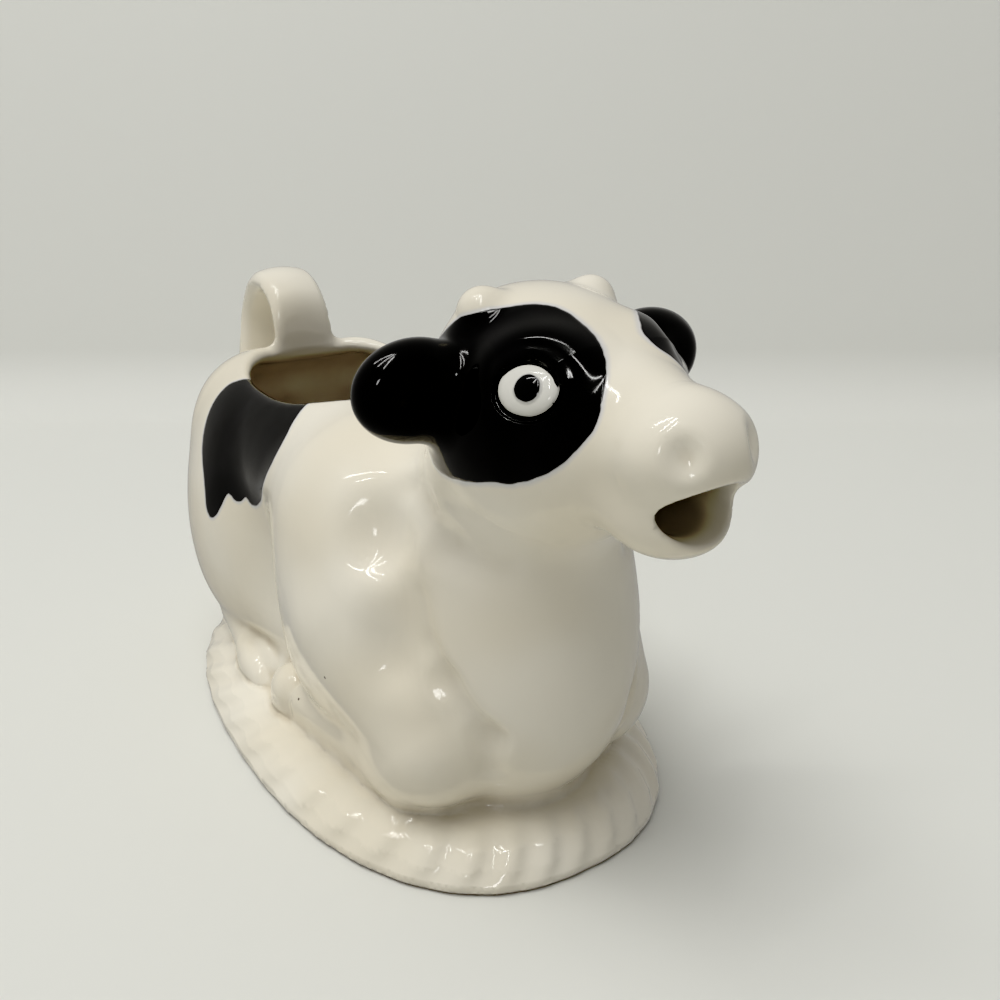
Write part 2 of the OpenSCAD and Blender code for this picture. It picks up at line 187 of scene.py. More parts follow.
def folded(p):
    """Points carried over to the cow's left side."""
    return np.column_stack([p[:, 0], np.abs(p[:, 1]), p[:, 2]])


# %% Sliding a point onto a surface along its slope
def slope(f, p, e=0.05):
    """The gradient of f, from the corners of a small tetrahedron."""
    g = np.zeros_like(p)
    for corner in np.array([(1, 1, 1), (1, -1, -1), (-1, 1, -1), (-1, -1, 1)], float):
        g += f(p + e * corner)[:, None] * corner
    return g / (4 * e)


def settle(f, p, rounds=2, flattest=0.05, longest=0.6):
    """Points slid onto the surface of f, by steps that stay short where f is nearly flat."""
    for _ in range(rounds):
        g = slope(f, p)
        step = f(p)[:, None] * g / np.maximum((g * g).sum(1), flattest)[:, None]
        p = p - np.clip(step, -longest, longest)
    return p


# %% The solid animal without its legs, ears and horns
NECK_SOFT = 6


def trunk(p):
    q = folded(p)
    body = dented(q, body_dents, heap(q, body_lumps))
    return dented(q, jaw_dents, melt(body, heap(q, head_lumps), NECK_SOFT))


# %% [markdown]
# ## The eye's own axes
# An eye is laid on the side of the face, so it is easiest to place in its own axes: along
# the face, up the face and straight out. The point is first slid onto the finished head, so
# that the eye sits on the clay wherever the head is changed.

# %% Axes of the left eye
EYE_NEAR = (69.7, 14.1, 94.2)
eye_middle = settle(trunk, np.array([EYE_NEAR]), 6)[0]
eye_out = slope(trunk, eye_middle[None])[0]
eye_out /= np.linalg.norm(eye_out)
eye_along = np.cross(eye_out, (0, 0, 1))
eye_along /= np.linalg.norm(eye_along)
eye_up = np.cross(eye_along, eye_out)
eye_axes = (eye_middle, eye_along, eye_up, eye_out)
print("an eye sits at", np.round(eye_middle, 1), "and looks along", np.round(eye_out, 2))


# %% Details: brow, eyelid, groove round the eye, nostril, dished ear and cloven hoof
brow = (arc, 5, eye_axes, (9.5, 8.4), (95, 45), 1.35, 0.034)
eyelid = (arc, 1.2, eye_axes, (6.3, 5.4), (88, 66), 1.2, 0.03)
eye_groove = (arc, 0.5, eye_axes, (5.4, 4.45), (-90, 200), 0.5, 0.03)
nostril = (oval, 3.0, (95.7, 7.0, 89.8), (1.4, 1.8, 2.1), 20)
ear_dish = (oval, 3.0, (60.4, 25.8, 91.5), (4.2, 6.4, 5.4))
hoof_cleft = (rope, 0.8, (-8, 34.2, 13.0), (3, 34.6, 12.0), 0.2, 0.9)


# %% [markdown]
# ## The hollow
# Slip casting leaves a skin of even thickness, because the plaster mould draws water out of
# the slip at one rate everywhere. So the hollow is the same animal, smaller by the wall.
# The filling mouth is cut through the back with a soft knife, and the pouring mouth is bored
# from the lips back into the head.

# %% Cutting tools
# the hollow's floor is 14 mm up, which leaves 5 mm of clay over the top of the plinth
WALL, FLOOR = 4.0, 14.0
FILL_X, FILL_HALF, FILL_POWER, FILL_BOTTOM = -24.6, (27.8, 20.5), 2.7, 64
POUR_MIDDLE, POUR_RADII, POUR_TILT = (94, 0, 80.2), (24, 6.9, 4.9), -3


def oval_wall(p, middle, half, power):
    """Distance to an upright wall on a squarish oval, whose half sizes may vary with p."""
    x, y = np.abs(p[:, 0] - middle) / half[0], np.abs(p[:, 1]) / half[1]
    r = (x**power + y**power) ** (1 / power)
    away = np.hypot(p[:, 0] - middle, p[:, 1])
    return away * (1 - 1 / np.maximum(r, 1e-3))


def filling_tool(p):
    return np.maximum(oval_wall(p, FILL_X, FILL_HALF, FILL_POWER), FILL_BOTTOM - p[:, 2])


def pouring_tool(p):
    return oval(p, POUR_MIDDLE, POUR_RADII, POUR_TILT)


# %% [markdown]
# ## Handle and plinth
# The tail is a pulled strap of clay, bent into a D and luted on behind the filling mouth, so
# that a finger goes through it. A curve with a bevel would give the strap too, but not the
# wet fillet at its roots, so it is one more distance formula: a ring drawn out downwards,
# crowned across its width and wider at the roots. The plinth is a squarish oval whose skirt
# is drawn in at the foot and pressed with slanting flutes, like a rope laid round it.

# %% The tail handle: a strap in a D, carried up behind the filling mouth
LOOP_X, LOOP_Z, LOOP_R = -65.8, 76.0, 12.8
LOOP_DROP, LOOP_RISE = 1.9, 1.1
STRAP_HALF, ROOT_FLARE = 7.4, 3.5
# the strap is at its widest 14 mm below the middle of its loop, and slim 24 mm higher
FLARE_LOW, FLARE_RUN = -14, 24
STRAP_THICK, STRAP_EDGE, STRAP_CROWN = 2.95, 2.4, 1.4


def handle_strap(p):
    x, z = p[:, 0] - LOOP_X, p[:, 2] - LOOP_Z
    ring = np.sqrt(x * x + (z / np.where(z < 0, LOOP_DROP, LOOP_RISE)) ** 2)
    half = STRAP_HALF + ROOT_FLARE * np.clip(1 - (z - FLARE_LOW) / FLARE_RUN, 0, 1) ** 1.5
    out = np.abs(ring - LOOP_R) - STRAP_THICK + STRAP_EDGE + STRAP_CROWN * (p[:, 1] / half) ** 2
    side = np.abs(p[:, 1]) - half + STRAP_EDGE
    outside = np.sqrt(np.maximum(out, 0) ** 2 + np.maximum(side, 0) ** 2)
    return outside + np.minimum(np.maximum(out, side), 0) - STRAP_EDGE


# %% The plinth: an oval with a drawn-in, fluted skirt
BASE_TOP, BASE_HALF, BASE_POWER, BASE_INSET = 9.0, (70.0, 42.5), 2.38, 8.5
FLUTES, FLUTE_LEAN, FLUTE_DEPTH = 38, 8, 1.1
LEANING_SIDE, TOP_ROUNDING = 0.85, 4.0
skirt_heights = [0, 0.09, 0.25, 0.5, 0.75, 0.93, 1]
skirt_insets = [0.1, 0.02, 0, 0.13, 0.38, 0.72, 1.05]
skirt_flutes = [0.05, 0.1, 0.35, 0.9, 1.2, 1.1, 0.8]


def plinth(p):
    a, b = BASE_HALF
    h = np.clip(p[:, 2] / BASE_TOP, 0, 1)
    inset = BASE_INSET * np.interp(h, skirt_heights, skirt_insets)
    angle = np.degrees(np.arctan2(p[:, 1] / b, p[:, 0] / a))
    wave = 0.5 + 0.5 * np.cos(np.radians(FLUTES * (angle - FLUTE_LEAN * h)))
    inset = inset + FLUTE_DEPTH * np.interp(h, skirt_heights, skirt_flutes) * wave
    side = oval_wall(p, 0.0, (a - inset, b - inset), BASE_POWER)
    # the side leans, so its distance is taken a little shorter; the top edge is rounded off
    shoulder = -melt(-side * LEANING_SIDE, BASE_TOP - p[:, 2], TOP_ROUNDING)
    return np.maximum(shoulder, -p[:, 2])


# %% [markdown]
# ## The fired body
# On the bench the legs, ears and horns are luted to the animal, the details are pressed in,
# the handle and the plinth are joined, and the mouths are cut through the cast wall while it
# is leather-hard. The field is built in the same order, so each edge gets the softness of
# the step that made it.

# %% The whole fired body, inside and out
SOFT = {"handle": 3.0, "plinth": 4.0, "hollow": 0.5, "filling": 3.4, "pouring": 1.5}


def creamer(p):
    q = folded(p)
    animal = trunk(p)
    inside = np.maximum(animal + WALL, FLOOR - p[:, 2])
    joined = foreleg_lumps + hind_leg_lumps + ear_lumps + horn_lumps + [brow, eyelid]
    clay = heap(q, joined, animal)
    clay = dented(q, [eye_groove, nostril, ear_dish, hoof_cleft], clay)
    clay = melt(clay, handle_strap(p), SOFT["handle"])
    clay = melt(clay, plinth(p), SOFT["plinth"])
    clay = np.maximum(clay, -p[:, 2])
    clay = carve(clay, inside, SOFT["hollow"])
    clay = carve(clay, filling_tool(p), SOFT["filling"])
    return carve(clay, pouring_tool(p), SOFT["pouring"])


# %% [markdown]
# ## From formula to mesh
# Surface nets turn the field into quads: each small cell that the surface passes through
# gets one vertex, and each grid edge that crosses it gets one face. The vertices are then
# slid onto the exact surface along its gradient, and the gradient is kept as the shading
# normal, so highlights run across the glaze without any facets.

# %% Surface nets
def nets(field, lowest, step):
    """Vertices and quads of the surface where the field changes sign."""
    inside = field < 0
    near = [inside[:-1, :-1, :-1], inside[1:, :-1, :-1], inside[:-1, 1:, :-1], inside[1:, 1:, :-1],
            inside[:-1, :-1, 1:], inside[1:, :-1, 1:], inside[:-1, 1:, 1:], inside[1:, 1:, 1:]]
    count = sum(n.astype(np.int8) for n in near)
    cells = np.argwhere((count > 0) & (count < 8))
    number = np.full(count.shape, -1, np.int64)
    number[tuple(cells.T)] = np.arange(len(cells))
    total, hits = np.zeros((len(cells), 3)), np.zeros(len(cells))
    for axis in range(3):
        others = [i for i in range(3) if i != axis]
        for j in (0, 1):
            for k in (0, 1):
                a = cells.copy()
                a[:, others[0]] += j
                a[:, others[1]] += k
                b = a.copy()
                b[:, axis] += 1
                fa, fb = field[tuple(a.T)], field[tuple(b.T)]
                cross = (fa < 0) != (fb < 0)
                t = np.where(cross, fa / np.where(cross, fa - fb, 1), 0)
                point = a.astype(float)
                point[:, axis] += t
                total[cross] += point[cross]
                hits[cross] += 1
    points = lowest + step * total / hits[:, None]
    quads = []
    for axis in range(3):
        u, v = (axis + 1) % 3, (axis + 2) % 3
        first = [slice(1, -1)] * 3
        first[axis] = slice(0, -1)
        second = list(first)
        second[axis] = slice(1, None)
        a, b = inside[tuple(first)], inside[tuple(second)]
        edges = np.argwhere(a != b)
        leaving = a[tuple(edges.T)]
        offset = np.ones(3, int)
        offset[axis] = 0
        at = edges + offset
        ring = []
        for du, dv in ((-1, -1), (0, -1), (0, 0), (-1, 0)):
            c = at.copy()
            c[:, u] += du
            c[:, v] += dv
            ring.append(number[tuple(c.T)])
        ring = np.column_stack(ring)
        ring[~leaving] = ring[~leaving][:, ::-1]
        quads.append(ring)
    return points, np.concatenate(quads)


# %% Evening out the quads
def relax(p, quads, share=0.5):
    """Each vertex moves towards the middle of its neighbours, which evens out the quads."""
    total, n = np.zeros_like(p), np.zeros(len(p))
    for i in range(4):
        a, b = quads[:, i], quads[:, (i + 1) % 4]
        for s, t in ((a, b), (b, a)):
            np.add.at(total, s, p[t])
            np.add.at(n, s, 1)
    return p + share * (total / n[:, None] - p)


# %% Sampling one half and mirroring it
step = 1.0
lowest, highest = np.array([-86.0, -46.0, -2.0]), np.array([104.0, 46.0, 112.0])
nx, nz = (int((highest[i] - lowest[i]) / step) + 1 for i in (0, 2))
ys = (np.arange(int(highest[1] / step) + 1) + 0.5) * step
xs, zs = lowest[0] + step * np.arange(nx), lowest[2] + step * np.arange(nz)
field = np.empty((nx, len(ys), nz))
for i, x in enumerate(xs):
    yy, zz = np.meshgrid(ys, zs, indexing="ij")
    slice_points = np.column_stack([np.full(yy.size, x), yy.ravel(), zz.ravel()])
    field[i] = creamer(slice_points).reshape(yy.shape)
field = np.concatenate([field[:, ::-1], field], axis=1)
origin = np.array([xs[0], -ys[-1], zs[0]])
points, quads = nets(field, origin, step)
print("surface nets gave", len(points), "vertices and", len(quads), "quads")

# %% Finer quads where the detail is
def refine(points, quads, chosen):
    """Cuts each chosen quad into four, and gives its neighbours the new corners."""
    edges = np.sort(np.stack([quads, np.roll(quads, -1, axis=1)], axis=2), axis=2)
    keys = edges[..., 0] * len(points) + edges[..., 1]
    cut = np.unique(keys[chosen])
    middles = (points[cut // len(points)] + points[cut % len(points)]) / 2
    centres = points[quads[chosen]].mean(1)
    first, second = len(points), len(points) + len(cut)
    at = first + np.searchsorted(cut, keys)
    split = np.isin(keys, cut)
    q, m, c = quads[chosen], at[chosen], second + np.arange(int(chosen.sum()))
    small = [np.column_stack([q[:, i], m[:, i], c, m[:, i - 1]]) for i in range(4)]
    border = split.any(1) & ~chosen
    odd = [[v for i in range(4) for v in (quads[f, i], at[f, i])[: 2 if split[f, i] else 1]]
           for f in np.flatnonzero(border)]
    kept = quads[~chosen & ~border]
    return np.concatenate([points, middles, centres]), np.concatenate([kept, *small]), odd


# %% Settling the skin, with finer quads on the head and the hooves, and finest at the eyes
points = settle(creamer, points)
points = settle(creamer, relax(points, quads))
x, y, z = folded(points[quads].mean(1)).T
fine = (x > 46) & (z > 64) | (z < 20) & (x > -34) & (x < 8) & (y > 22)
points, quads, odd_faces = refine(points, quads, fine)
points = settle(creamer, points)
middles = folded(points[quads].mean(1))
round_eye = np.linalg.norm(middles - eye_middle, axis=1) < 10
points, quads, more_odd = refine(points, quads, round_eye)
odd_faces += more_odd
points = settle(creamer, points)
normals = slope(creamer, points)
normals /= np.linalg.norm(normals, axis=1)[:, None]
print("the skin has", len(points), "vertices; the furthest from the surface is",
      round(float(np.abs(creamer(points)).max()), 3), "mm off")

# %% [markdown]
# ## Where the black glaze goes
# On the real cow the black is brushed over the raw ivory glaze by hand, so its edge is a soft
# round stroke with a few drips, and it covers the ears whole. A painted picture could carry
# it, but its edge would blur close up. Here each patch is a closed brush line, and every
# vertex keeps its distance to that line in millimetres; the shader cuts a crisp edge from it.

# %% A brush line through a few points, and the distance to it
def brushed(corners, steps=6):
    c = np.array(corners, float)
    before, after, beyond = np.roll(c, 1, 0), np.roll(c, -1, 0), np.roll(c, -2, 0)
    t = (np.arange(steps) / steps)[None, :, None]
    c, before, after, beyond = (v[:, None] for v in (c, before, after, beyond))
    line = c + 0.5 * t * (after - before + t * (2 * before - 5 * c + 4 * after - beyond
                                                + t * (3 * (c - after) + beyond - before)))
    return line.reshape(-1, 2)


def brush_distance(p, loop):
    """Millimetres from the loop, below zero inside it."""
    nearest, crossings = np.full(len(p), 1e9), np.zeros(len(p), int)
    for a, b in zip(loop, np.roll(loop, -1, 0)):
        run = b - a
        t = np.clip(((p - a) @ run) / (run @ run), 0, 1)
        nearest = np.minimum(nearest, np.linalg.norm(p - a - t[:, None] * run, axis=1))
        spans = (a[1] > p[:, 1]) != (b[1] > p[:, 1])
        at = a[0] + (p[:, 1] - a[1]) * run[0] / (run[1] if run[1] else 1e-9)
        crossings += spans & (p[:, 0] < at)
    return np.where(crossings % 2 == 1, -nearest, nearest)


# %% Patch round the eye, drawn in the eye's axes, and the ears
face_line = brushed([(-17.7, 9.4), (-13, 11), (-8.3, 13.3), (-3.6, 14.3), (0, 13.8),
                     (4.7, 11.4), (8.6, 8.1), (10.9, 4.2), (11.9, 0.2), (11.8, -3.7),
                     (9.9, -6.8), (6.6, -9.8), (2.4, -12), (-1, -13.1), (-5.1, -13.5),
                     (-11.4, -14), (-17.1, -13), (-20.5, -10.5), (-23, -4), (-22, 5)])
far_face_line = brushed([(-22, 5), (-16, 8), (-9, 9.2), (-3.6, 9.9), (0.5, 10.4), (4.1, 10.1),
                         (7.2, 9.2), (9.2, 7.2), (9.7, 4.4), (9.6, 0.5), (9, -4), (7, -8.5),
                         (3, -11.5), (-2, -12.8), (-8, -13.4), (-15, -13), (-20, -10), (-23, -3)])
# %% Patches on the flanks, drawn on a board that leans in against the back
near_line = brushed([(-36, 51), (-39.6, 47.9), (-40.3, 42.9), (-38.8, 37), (-36.6, 32),
                     (-32, 25), (-30.2, 20.5), (-28.3, 19.2), (-26, 20.4), (-23.8, 23.6),
                     (-21.6, 26.9), (-19.2, 26.5), (-16.7, 27.2), (-14.6, 28.7), (-12.4, 28),
                     (-9, 29.2), (-5, 32), (-1.5, 36), (0.6, 40.5), (0.4, 45), (-1.6, 49),
                     (-4, 53), (-8, 58), (-30, 58)])
far_line = brushed([(-33, 43), (-39, 38), (-41, 31), (-38, 25), (-32, 22), (-27, 19.5),
                    (-22, 20.5), (-17, 23), (-13, 22.5), (-9, 26), (-7, 32), (-9, 38),
                    (-14, 41), (-21, 42), (-27, 45)])


# %% Distance to the black glaze
FAR, EAR_MARGIN, RIM_DEPTH = 20, 2.2, 2.3


def black_distance(p):
    """Millimetres outside the black glaze; below zero is black."""
    q = folded(p)
    x, y, z = q.T
    near_side = p[:, 1] < 0
    from_eye = q - eye_middle
    board = np.column_stack([from_eye @ eye_along, from_eye @ eye_up])
    face = np.where(near_side, brush_distance(board, face_line),
                    brush_distance(board, far_face_line))
    face = np.where((x > 40) & (z > 60) & (y > 1), face, FAR)
    board = np.column_stack([x, 0.85 * z - 0.53 * y])
    flank = np.where(near_side, brush_distance(board, near_line), brush_distance(board, far_line))
    flank = np.where((y > 12) & (z > 20) & (x < 20), flank, FAR)
    ears = heap(q, ear_lumps) - EAR_MARGIN
    brushed_on = np.minimum(np.minimum(face, flank), ears)
    # the brush stops on the rim: it never goes down into the mouths
    return np.clip(np.maximum(brushed_on, -trunk(p) - RIM_DEPTH), -6, 6)


black = black_distance(points)
print("black glaze covers", round(float((black < 0).mean()) * 100), "% of the vertices")

# %% [markdown]
# ## How thick the glaze lies, and painted shade in the creases
# Glaze runs off ridges and pools in creases before it sets, so creases look warmer and a little
# darker; the same darkening also stands in for the shade that falls into them, so it is partly
# painted shade. The mesh already knows where they are: in a crease a vertex lies below the
# middle of its neighbours.

# %% Pooling, and painted shade in the creases
def hollowness(p, faces, normals, odd, rounds=6):
    """How deep each vertex lies below the middle of its neighbours, smoothed a few times."""
    rings = [faces] + ([np.array([f[:4] for f in odd])] if odd else [])
    sources = np.concatenate([r[:, i] for r in rings for i in range(4)])
    targets = np.concatenate([r[:, (i + 1) % 4] for r in rings for i in range(4)])
    here, there = np.concatenate([sources, targets]), np.concatenate([targets, sources])
    count = np.maximum(np.bincount(here, minlength=len(p)), 1)

    def average(v):
        sums = [np.bincount(here, v[there, i], len(p)) for i in range(v.shape[1])]
        return np.column_stack(sums) / count[:, None]

    reach = np.linalg.norm(p[there] - p[here], axis=1)
    length = np.maximum(np.bincount(here, reach, len(p)) / count, 0.1)
    dip = (((average(p) - p) * normals).sum(1) / length**2)[:, None]
    for _ in range(rounds):
        dip = average(dip)
    return dip[:, 0]


# how strongly a crease darkens, as pooled glaze and as painted shade
POOL_AND_SHADE_GAIN = 4
crease_pool_and_shade = np.clip(hollowness(points, quads, normals, odd_faces) * POOL_AND_SHADE_GAIN, -1, 1)
print("creases hold up to", round(float(crease_pool_and_shade.max()), 2), "of the deepest pool")


# %% [markdown]
# ## Materials
# Every colour is written as a web colour, in sRGB, and one function turns it to the linear
# light that the renderer mixes. The nodes are added by one small function.

# %% Colour and node helpers
def linear(hex_colour):
    """A web colour as the linear light that the renderer mixes."""
    parts = [int(hex_colour[i : i + 2], 16) / 255 for i in (1, 3, 5)]
    return (*(c / 12.92 if c <= 0.04045 else ((c + 0.055) / 1.055) ** 2.4 for c in parts), 1.0)


def add(tree, kind, settings=None, inputs=None, out=0):
    """A node. Each input takes a number, a web colour or an output; out picks its own output."""
    node = tree.nodes.new(kind)
    for name, value in (settings or {}).items():
        setattr(node, name, value)
    for name, value in (inputs or {}).items():
        if isinstance(value, bpy.types.NodeSocket):
            tree.links.new(value, node.inputs[name])
        else:
            node.inputs[name].default_value = linear(value) if isinstance(value, str) else value
    return node if out is None else node.outputs[out]


def finish_called(name):
    """An empty material and its node tree."""
    material = bpy.data.materials.new(name)
    material.use_nodes = True
    material.node_tree.nodes.clear()
    return material, material.node_tree


# a map-range node carries a value softly from low..high to start..end, and a mix node gives
# its first colour where the share is 0 and its second where it is 1
SMOOTH, VALUE, LOW, HIGH, START, END = {"interpolation_type": "SMOOTHSTEP"}, 0, 1, 2, 3, 4
COLOURS, SHARE, FIRST, SECOND, MIXED = {"data_type": "RGBA"}, 0, 6, 7, 2
MM = 0.001

# %% [markdown]
# ## Glazed earthenware
# Ivory is an opaque tin-white lead-free glaze, fired glossy: its eye-catching trait is one
# sharp reflection over a creamy body that lets a little light in. The black is an iron and
# cobalt glaze brushed on top; it stands a tenth of a millimetre proud and turns the white
# next to it faintly blue. Iron grains in the clay burn out as a few dark pin-specks. The foot
# is wiped clean before firing, so it stays dry, rough and darker. One material carries all
# of it, because on the real cow all of it is one coat, and the attributes say where.

# %% Glaze colours
# the pool colour darkens the creases: partly pooled glaze, partly painted shade
IVORY, IVORY_WARM, IVORY_POOL_AND_SHADE = "#ECE6D7", "#E5DDCA", "#CDC1A9"
BLACK, BLACK_THIN, HALO = "#050506", "#141316", "#C3C6D1"
# the last of these is painted shade: the hollow's glaze drawn greyer and darker than outside
SPECK, BISQUE, HOLLOW_SHADE = "#5A483A", "#8E7E6B", "#CDC6B9"
# every glaze here is a glass, with a thin clear coat that sharpens its reflection
GLASSY = {"IOR": 1.52, "Coat Weight": 0.25, "Coat Roughness": 0.03}


# %% The one coat, from its attributes to its shader
def glazed(name):
    material, tree = finish_called(name)
    place = add(tree, "ShaderNodeTexCoord", out="Object")
    from_black, pool_and_shade_depth, hollow_shade = (
        add(tree, "ShaderNodeAttribute", {"attribute_name": layer}, out="Fac")
        for layer in ("black", "crease_pool_and_shade", "inside"))
    # noises, each found under the size of its clouds in millimetres
    noise = {size: add(tree, "ShaderNodeTexNoise", None,
                       {"Vector": place, "Scale": 1000 / size, "Detail": detail})
             for size, detail in ((4, 2), (6, 2), (7, 1), (9, 2), (28, 1))}
    # the brush line wanders by a tenth of a millimetre
    wander = add(tree, "ShaderNodeMapRange", SMOOTH,
                 {VALUE: noise[4], LOW: 0.2, HIGH: 0.8, START: -0.12, END: 0.12})
    edge = add(tree, "ShaderNodeMath", {"operation": "ADD"}, {0: from_black, 1: wander})
    painted = add(tree, "ShaderNodeMapRange", SMOOTH,
                  {VALUE: edge, LOW: -0.10, HIGH: 0.10, START: 1, END: 0})
    halo = add(tree, "ShaderNodeMapRange", SMOOTH,
               {VALUE: edge, LOW: 0.05, HIGH: 0.9, START: 0.55, END: 0})
    # the ivory clouds over some 28 mm, and darkens in the creases: pooled glaze and painted shade
    cloud = add(tree, "ShaderNodeMapRange", SMOOTH, {VALUE: noise[28], LOW: 0.35, HIGH: 0.65})
    pool = add(tree, "ShaderNodeMapRange", SMOOTH,
               {VALUE: pool_and_shade_depth, LOW: 0.05, HIGH: 0.7, START: 0, END: 0.8})
    # one cell in five, some 12 mm across, holds a pin-speck half a millimetre wide
    cells = add(tree, "ShaderNodeTexVoronoi", None,
                {"Vector": place, "Scale": 1000 / 12, "Randomness": 1.0}, out=None)
    lot = add(tree, "ShaderNodeSeparateColor", None, {0: cells.outputs["Color"]})
    chosen = add(tree, "ShaderNodeMapRange", SMOOTH, {VALUE: lot, LOW: 0.80, HIGH: 0.82})
    grain = add(tree, "ShaderNodeMapRange", SMOOTH,
                {VALUE: cells.outputs["Distance"], LOW: 0.020, HIGH: 0.028, START: 1, END: 0})
    speck = add(tree, "ShaderNodeMath", {"operation": "MULTIPLY"}, {0: grain, 1: chosen})
    ivory = IVORY
    # the inside tint is painted shade in the hollow
    # the pool tint is partly pooled glaze, partly painted shade in the creases
    for share, tint in ((cloud, IVORY_WARM), (pool, IVORY_POOL_AND_SHADE), (hollow_shade, HOLLOW_SHADE),
                        (speck, SPECK), (halo, HALO)):
        ivory = add(tree, "ShaderNodeMix", COLOURS,
                    {SHARE: share, FIRST: ivory, SECOND: tint}, MIXED)
    # where the brush was nearly dry, the black is thinner and browner
    thin = add(tree, "ShaderNodeMapRange", SMOOTH,
               {VALUE: noise[9], LOW: 0.45, HIGH: 0.75, START: 0, END: 0.6})
    stroke = add(tree, "ShaderNodeMix", COLOURS,
                 {SHARE: thin, FIRST: BLACK, SECOND: BLACK_THIN}, MIXED)
    colour = add(tree, "ShaderNodeMix", COLOURS,
                 {SHARE: painted, FIRST: ivory, SECOND: stroke}, MIXED)
    # the foot is bare, rough clay up to a little under a millimetre
    height = add(tree, "ShaderNodeSeparateXYZ", None, {0: place}, 2)
    foot = {VALUE: height, LOW: 0.0005, HIGH: 0.0009, END: 0}
    bare = add(tree, "ShaderNodeMapRange", SMOOTH, {**foot, START: 1})
    colour = add(tree, "ShaderNodeMix", COLOURS,
                 {SHARE: bare, FIRST: colour, SECOND: BISQUE}, MIXED)
    gloss = add(tree, "ShaderNodeMapRange", SMOOTH,
                {VALUE: noise[6], LOW: 0.3, HIGH: 0.7, START: 0.07, END: 0.13})
    dry = add(tree, "ShaderNodeMapRange", SMOOTH, {**foot, START: 0.75})
    rough = add(tree, "ShaderNodeMath", {"operation": "MAXIMUM"}, {0: gloss, 1: dry})
    # relief in millimetres: the black stands proud, and the glaze ripples faintly
    coated = add(tree, "ShaderNodeMapRange", SMOOTH,
                 {VALUE: edge, LOW: -0.35, HIGH: 0.25, START: 1, END: 0})
    proud = add(tree, "ShaderNodeMath", {"operation": "MULTIPLY_ADD"}, {0: coated, 1: 0.12, 2: 0})
    relief = add(tree, "ShaderNodeMath", {"operation": "MULTIPLY_ADD"},
                 {0: noise[7], 1: 0.10, 2: proud})
    bump = add(tree, "ShaderNodeBump", None, {"Strength": 1.0, "Distance": MM, "Height": relief})
    shader = add(tree, "ShaderNodeBsdfPrincipled", None,
                 {**GLASSY, "Base Color": colour, "Roughness": rough, "Normal": bump})
    add(tree, "ShaderNodeOutputMaterial", None, {"Surface": shader}, out=None)
    return material


glaze = glazed("glazed_earthenware")

# %% [markdown]
# ## One skin, many pieces
# The clay was joined before glazing, so the surface is one. For reuse it is still handed on
# as the pieces it was made from: each face goes to the lump that it lies on, and because the
# shading normals come from the shared field, no seam shows between the pieces.

# %% Which piece a face belongs to
DEEP, UNDERSIDE = -2.0, 0.02


def sorted_to_pieces(p):
    """The names of the pieces, and for each point the number of the lump it lies on."""
    q = folded(p)
    parts = {
        "body": dented(q, body_dents, heap(q, body_lumps)),
        "head": heap(q, head_lumps + [brow, eyelid]),
        "handle": handle_strap(p),
        "base": plinth(p),
        "foreleg": heap(q, foreleg_lumps),
        "hind_leg": heap(q, hind_leg_lumps),
        "ear": heap(q, ear_lumps),
        "horn": heap(q, horn_lumps),
    }
    names = list(parts)
    depths = np.array([parts[n] for n in names])
    # deep in the clay only body and head count, and the underside is all plinth
    depths[2:, trunk(p) < DEEP] = 1e3
    depths[names.index("base"), p[:, 2] < UNDERSIDE] = -1e3
    return names, depths.argmin(0)


# %% A piece for the library, in metres, in place of one measured solid
def make_piece(name, points, faces, layers, material, node, normals=None):
    mesh = bpy.data.meshes.new(name)
    mesh.from_pydata((points * MM).tolist(), [], faces)
    mesh.update()
    mesh.shade_smooth()
    for layer, values in layers.items():
        data = mesh.attributes.new(layer, "FLOAT", "POINT").data
        data.foreach_set("value", values.astype(np.float32))
    if normals is not None:
        mesh.normals_split_custom_set_from_vertices(normals.tolist())
    mesh.materials.append(material)
    made = bpy.data.objects.new(name, mesh)
    bpy.context.scene.collection.objects.link(made)
    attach(made, "root")
    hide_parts(node)
    print(name, "has", len(faces), "faces")


# %% Cutting up the skin
faces = [tuple(f) for f in quads.tolist()] + [tuple(f) for f in odd_faces]
face_middles = np.array([points[list(f)].mean(0) for f in faces])
# the painted shade of the hollow, a greyer and darker ivory, starts 2.9 mm below the outer
# skin, on the rims' inner edge
HOLLOW_SHADE_FROM, HOLLOW_SHADE_OVER = 2.9, 0.8
inside = np.clip((-trunk(points) - HOLLOW_SHADE_FROM) / HOLLOW_SHADE_OVER, 0, 1)
layers = {"black": black, "crease_pool_and_shade": crease_pool_and_shade, "inside": inside}
names, owner = sorted_to_pieces(face_middles)
left = face_middles[:, 1] > 0
for i, name in enumerate(names):
    if name in ("body", "head", "handle", "base"):
        sides = [(name, owner == i)]
    else:
        sides = [("left_" + name, (owner == i) & left), ("right_" + name, (owner == i) & ~left)]
    for node, mask in sides:
        chosen = [faces[f] for f in np.flatnonzero(mask)]
        used = np.unique([v for f in chosen for v in f])
        number = {int(v): j for j, v in enumerate(used)}
        make_piece(node + "_glazed", points[used], [[number[int(v)] for v in f] for f in chosen],
                   {layer: values[used] for layer, values in layers.items()}, glaze, node,
                   normals[used])

# %% [markdown]
# ## Eyes
# Each eye is a low oval bead of white glaze with a round black pupil that stands a little
# higher, laid in the groove of the face. A flattened ball would leave a gap where the face
# curves away under it. So it is a disc of rings that is first laid on the head, and then
# lifted off it by the bead's own curve.

# %% Bead of an eye
EYE_HALF, BULGE, SUNK = (5.0, 4.1), 1.0, 0.35
PUPIL, PUPIL_AT, PUPIL_RISE, PUPIL_EDGE = 2.05, (0.5, -0.15), 0.45, 0.25


